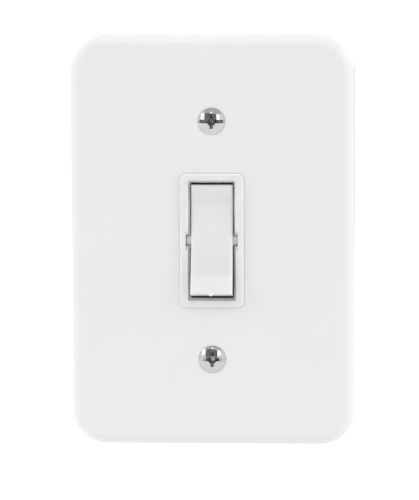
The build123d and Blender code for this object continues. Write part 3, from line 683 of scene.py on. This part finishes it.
def makeBrightPlate(s):
    low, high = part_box("cover_screw_upper")
    screwHeight = (low.z + high.z) / 2
    recipe = Recipe("brightPlate")
    where = recipe.place()
    mirrored = recipe.vectors("ABSOLUTE", where)
    fromAxis = recipe.vectors("SUBTRACT", mirrored, (0, 0, screwHeight))
    radius = recipe.vectors("LENGTH", recipe.vectors("MULTIPLY", fromAxis, (1, 0, 1)))
    across, depth, height = recipe.split(where)
    height = height - screwHeight * height.maths("SIGN")
    turn = across.maths("ARCTAN2", height) * (1 / math.tau)
    ridge = (depth * (1 / s["threadPitch"]) + turn).maths("PINGPONG", 0.5) * 2
    shank = (radius < s["shankRadius"]) * (radius > s["tipRadius"]) * (depth > s["shankStart"])
    ringPlace = recipe.node("ShaderNodeCombineXYZ", {}, {"X": radius * s["ringsPerMetre"]})
    rings = recipe.noise(ringPlace, 1, 2)
    crownCentre = (0, -(low.y + s["crownRadius"]), screwHeight)
    fromCentre = recipe.vectors("LENGTH", recipe.vectors("SUBTRACT", mirrored, crownCentre))
    # painted shade, deepening into the driver recess below the crown's sphere
    sunk = s["crownRadius"] - fromCentre - s["recessShadeStart"]
    recessShade = recipe.ramp(sunk * (1 / (s["recessShadeFull"] - s["recessShadeStart"])), (0, 0), (1, 1))
    recessShade = recessShade * (radius < s["recessRadius"])
    scuff = recipe.ramp(recipe.noise(where, s["scuffPerMetre"], 5, 0.7), (0.55, 0), (0.75, 1))
    shadeAndScuff = recessShade * s["recessShadeShare"] + scuff * s["scuffTint"]
    roughness = s["roughness"] + s["scuffRoughness"] * scuff + s["recessRoughness"] * recessShade
    turned = recipe.bump(rings, s["ringDepth"], recipe.softEdges(s["edge"]))
    return recipe.surface({
        "Base Color": recipe.blend(shadeAndScuff, s["plate"], s["recessShade"]),
        "Metallic": 1.0,
        "Roughness": roughness,
        "Normal": recipe.bump(ridge * shank, s["threadDepth"], turned),
    })


finishes = {
    "cover_paint": makeCoverPaint(coverPaint),
    "plated_screw": makeBrightPlate(brightPlate),
}
for finishName, finish in mouldings.items():
    finishes[finish["slot"]] = makeMoulding(finishName, {**mouldingDetail, **finish})
for finishName, finish in metals.items():
    finishes[finish["slot"]] = makeMetal(finishName, {**metalDetail, **finish})
slotOf = {part["node"]: part["material_slot"] for part in frame["record"]["subparts"]}
for nodeName, node in nodes.items():
    for slot in node.material_slots:
        slot.material = finishes[slotOf[nodeName]]
print("finishes on", len(nodes), "nodes")


# rolled threads on the two box screws, on the CAD heads
threadSettings = {
    "pitch": 0.6 * mm,
    "crestRadius": 1.75 * mm,
    "rootRadius": 1.42 * mm,
    "flankStart": 0.2,  # these three are shares of a pitch
    "crestStart": 0.55,
    "crestEnd": 0.65,
    "runUp": 1.5,  # pitches before the first cut, so that the cut meets a whole thread
    "spareTurns": 2,
    "sides": 40,
    "overlap": 0.2 * mm,  # how far the thread reaches into the head
    "tipLength": 0.45 * mm,
    "tipTaper": 0.25,
    "threadWeld": 0.002 * mm,  # corners nearer than this become one
    "tolerance": 0.0005 * mm,  # the same on the CAD head, and at the cuts
    "smoothUnder": 32,
}
threadedScrews = {
    # CAD node: piece, where its plain shank is cut, as a distance behind the wall plane
    "box_screw_upper": ("boxScrewUpper", 0.7 * mm),
    "box_screw_lower": ("boxScrewLower", 0.7 * mm),
}


def cutAcross(s, bm, height, facing):  # cuts at that height and closes the cut
    cut = bmesh.ops.bisect_plane(
        bm,
        geom=bm.verts[:] + bm.edges[:] + bm.faces[:],
        dist=s["tolerance"],
        plane_co=(0, height, 0),
        plane_no=(0, facing, 0),
        clear_outer=True,
    )
    rim = [item for item in cut["geom_cut"] if isinstance(item, bmesh.types.BMEdge)]
    bmesh.ops.holes_fill(bm, edges=rim, sides=0)


def threadShell(s, start, end):
    pitch, crest, root = s["pitch"], s["crestRadius"], s["rootRadius"]
    outline = [
        (root, 0.0),
        (root, s["flankStart"]),
        (crest, s["crestStart"]),
        (crest, s["crestEnd"]),
        (root, 1.0),
    ]
    turns = math.ceil((end - start) / pitch) + s["spareTurns"]
    bm = bmesh.new()
    verts = [
        bm.verts.new((radius, start + (share - s["runUp"]) * pitch, 0))
        for radius, share in outline
    ]
    edges = [bm.edges.new(pair) for pair in zip(verts, verts[1:])]
    bmesh.ops.spin(
        bm,
        geom=verts + edges,
        cent=(0, 0, 0),
        axis=(0, 1, 0),
        dvec=(0, pitch / s["sides"], 0),
        angle=math.tau * turns,
        steps=turns * s["sides"],
        use_merge=False,
    )
    bmesh.ops.remove_doubles(bm, verts=bm.verts, dist=s["threadWeld"])
    cutAcross(s, bm, start, -1)
    cutAcross(s, bm, end, 1)
    for vert in bm.verts:
        fromTip = end - vert.co.y
        if fromTip < s["tipLength"]:
            shrink = 1 - s["tipTaper"] * (1 - fromTip / s["tipLength"])
            vert.co.x *= shrink
            vert.co.z *= shrink
    bmesh.ops.recalc_face_normals(bm, faces=bm.faces)
    return bm


def makeThreadedScrew(nodeName, pieceName, cutHeight, s):
    low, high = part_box(nodeName)
    bm = bmesh.new()
    bm.from_mesh(nodes[nodeName].data)
    bmesh.ops.remove_doubles(bm, verts=bm.verts, dist=s["tolerance"])
    cutAcross(s, bm, cutHeight, 1)
    thread = threadShell(s, cutHeight - s["overlap"], high.y)
    bmesh.ops.translate(thread, verts=thread.verts, vec=(0, 0, (low.z + high.z) / 2))
    threadMesh = bpy.data.meshes.new("thread")
    thread.to_mesh(threadMesh)
    thread.free()
    bm.from_mesh(threadMesh)
    bpy.data.meshes.remove(threadMesh)
    piece = addMesh(pieceName, bm, s["smoothUnder"])
    piece.data.materials.append(finishes[slotOf[nodeName]])
    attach(piece, "switch_unit")
    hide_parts(nodeName)


for nodeName, (pieceName, cutHeight) in threadedScrews.items():
    makeThreadedScrew(nodeName, pieceName, cutHeight, threadSettings)
print("threaded screws made")


# the plunger's compression spring, with a closed turn at each end, which rides on the rocker
springSettings = {
    "wireRadius": 0.17 * mm,
    "coilRadius": 1.15 * mm,
    "start": 0.052 * mm,  # from the fixed end, along the stem
    "end": 6.448 * mm,
    "closedPitch": 0.35 * mm,
    "openTurns": 4,
    "wireSides": 10,
    "stepsPerTurn": 32,
    "smoothUnder": 50,
}


def makePlungerSpring(s):
    joints = frame["record"]["behaviour"]["joints"]
    slide = next(joint for joint in joints if joint["name"] == "plunger_slide")
    fixedEnd = Vector(slide["deforming_nodes"][0]["fixed_end_m"])
    along = -Vector(slide["axis"])
    height = s["end"] - s["start"] - 2 * s["wireRadius"]
    openPitch = (height - 2 * s["closedPitch"]) / s["openTurns"]
    bm = bmesh.new()
    bmesh.ops.create_circle(bm, segments=s["wireSides"], radius=s["wireRadius"])
    bmesh.ops.translate(bm, verts=bm.verts, vec=(s["coilRadius"], s["start"] + s["wireRadius"], 0))
    ring = bm.verts[:] + bm.edges[:]
    for turns, pitch in ((1, s["closedPitch"]), (s["openTurns"], openPitch), (1, s["closedPitch"])):
        spun = bmesh.ops.spin(
            bm,
            geom=ring,
            cent=(0, 0, 0),
            axis=(0, 1, 0),
            dvec=(0, pitch / s["stepsPerTurn"], 0),
            angle=math.tau * turns,
            steps=turns * s["stepsPerTurn"],
            use_merge=False,
        )
        ring = spun["geom_last"]
    bmesh.ops.holes_fill(bm, edges=[edge for edge in bm.edges if edge.is_boundary], sides=0)
    turn = Vector((0, 1, 0)).rotation_difference(along).to_matrix().to_4x4()
    bmesh.ops.transform(bm, matrix=Matrix.Translation(fixedEnd) @ turn, verts=bm.verts)
    bmesh.ops.recalc_face_normals(bm, faces=bm.faces)
    spring = addMesh("plungerSpring", bm, s["smoothUnder"])
    spring.data.materials.append(finishes[slotOf["plunger_spring"]])
    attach(spring, "rocker")
    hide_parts("plunger_spring")
    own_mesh(spring)


makePlungerSpring(springSettings)
print("plunger spring made")
